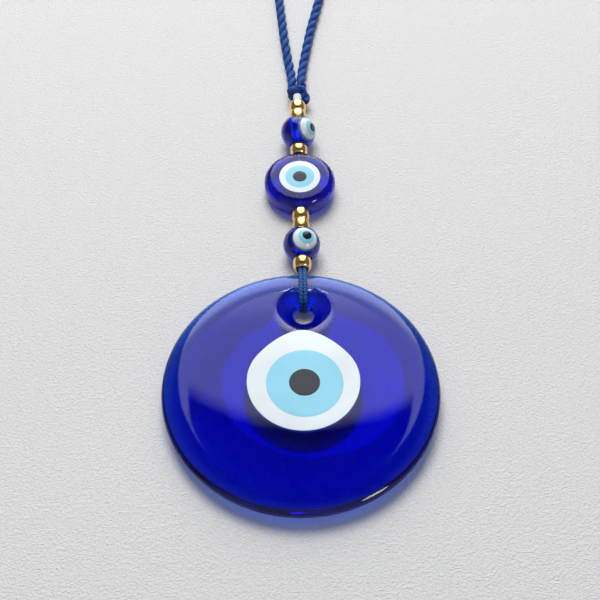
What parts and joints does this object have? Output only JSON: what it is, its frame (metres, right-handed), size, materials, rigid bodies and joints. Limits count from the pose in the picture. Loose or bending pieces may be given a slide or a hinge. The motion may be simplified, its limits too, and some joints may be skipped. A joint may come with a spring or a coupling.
{
  "type": "evil eye ornament",
  "caption": "Hanging glass eye ornament: a pierced cobalt disc with a layered eye, on a string of gilt and glass eye beads with a twisted hanging loop.",
  "frame": {"origin": "centre of the disc's flat back, on the surface that the ornament lies on", "axes": "+Z out of the disc's eye, +Y along the bead string to the hanging loop, +X to the right of the eye"},
  "size_m": [0.07, 0.2532, 0.0102],
  "materials": {
    "cobalt_glass": "deep cobalt blue glass, polished, light passes at the edges",
    "white_glass": "opaque white glass, fused flush, glossy",
    "sky_glass": "opaque pale blue glass, glossy",
    "aqua_glass": "opaque aqua glass, glossy",
    "ink_glass": "opaque near-black glass, glossy",
    "gilt": "polished gold-coloured plating",
    "braid": "flat braided cord, royal blue",
    "twisted_cord": "three-strand twisted cord, royal blue",
    "core_thread": "white thread core"
  },
  "bodies": {
    "disc": {"disc_glass": "cobalt_glass", "disc_white": "white_glass", "disc_iris": "sky_glass", "disc_pupil": "ink_glass"},
    "tie": {"tie_loop": "braid"},
    "string": {"bead_string": "braid", "knot_core": "core_thread", "knot": "twisted_cord"},
    "gilt_bead_1": {"gilt_bead_1": "gilt"},
    "lower_bead": {"lower_bead_glass": "cobalt_glass", "lower_bead_white": "white_glass", "lower_bead_iris": "aqua_glass", "lower_bead_pupil": "ink_glass"},
    "gilt_bead_2": {"gilt_bead_2": "gilt"},
    "gilt_bead_3": {"gilt_bead_3": "gilt"},
    "coin_bead": {"coin_bead_glass": "cobalt_glass", "coin_bead_white": "white_glass", "coin_bead_iris": "sky_glass", "coin_bead_pupil": "ink_glass", "coin_back_white": "white_glass", "coin_back_iris": "sky_glass", "coin_back_pupil": "ink_glass"},
    "gilt_bead_4": {"gilt_bead_4": "gilt"},
    "upper_bead": {"upper_bead_glass": "cobalt_glass", "upper_bead_white": "white_glass", "upper_bead_iris": "aqua_glass", "upper_bead_pupil": "ink_glass"},
    "gilt_bead_5": {"gilt_bead_5": "gilt"},
    "gilt_bead_6": {"gilt_bead_6": "gilt"},
    "loop": {"hanging_loop": "twisted_cord"}
  },
  "joints": [
    {"name": "tie_swing", "type": "hinge", "parent": "disc", "child": "tie", "pos_m": [0.00125, 0.0229, 0], "axis": [0, 0, 1], "range_deg": [-8, 8]},
    {"name": "string_fold", "type": "hinge", "parent": "tie", "child": "string", "pos_m": [0.00125, 0.0352, 0.0072], "axis": [1, 0, 0], "range_deg": [0, 110]},
    {"name": "gilt_bead_1_spin", "type": "hinge", "parent": "string", "child": "gilt_bead_1", "pos_m": [0.00125, 0.03835, 0.005], "axis": [0, 1, 0], "continuous": true},
    {"name": "lower_bead_spin", "type": "hinge", "parent": "string", "child": "lower_bead", "pos_m": [0.00125, 0.04477, 0.0051], "axis": [0, 1, 0], "continuous": true},
    {"name": "gilt_bead_2_spin", "type": "hinge", "parent": "string", "child": "gilt_bead_2", "pos_m": [0.00125, 0.05119, 0.00467], "axis": [0, 1, 0], "continuous": true},
    {"name": "gilt_bead_3_spin", "type": "hinge", "parent": "string", "child": "gilt_bead_3", "pos_m": [0.00125, 0.05541, 0.00406], "axis": [0, 1, 0], "continuous": true},
    {"name": "coin_bead_spin", "type": "hinge", "parent": "string", "child": "coin_bead", "pos_m": [0.00125, 0.06738, 0.0035], "axis": [0, 1, 0], "continuous": true},
    {"name": "gilt_bead_4_spin", "type": "hinge", "parent": "string", "child": "gilt_bead_4", "pos_m": [0.00125, 0.07935, 0.0043], "axis": [0, 1, 0], "continuous": true},
    {"name": "upper_bead_spin", "type": "hinge", "parent": "string", "child": "upper_bead", "pos_m": [0.00125, 0.08577, 0.0051], "axis": [0, 1, 0], "continuous": true},
    {"name": "gilt_bead_5_spin", "type": "hinge", "parent": "string", "child": "gilt_bead_5", "pos_m": [0.00125, 0.09219, 0.00455], "axis": [0, 1, 0], "continuous": true},
    {"name": "gilt_bead_6_spin", "type": "hinge", "parent": "string", "child": "gilt_bead_6", "pos_m": [0.00125, 0.09641, 0.004], "axis": [0, 1, 0], "continuous": true},
    {"name": "loop_fold", "type": "hinge", "parent": "string", "child": "loop", "pos_m": [0.00125, 0.10608, 0.0043], "axis": [1, 0, 0], "range_deg": [0, 100]}
  ]
}
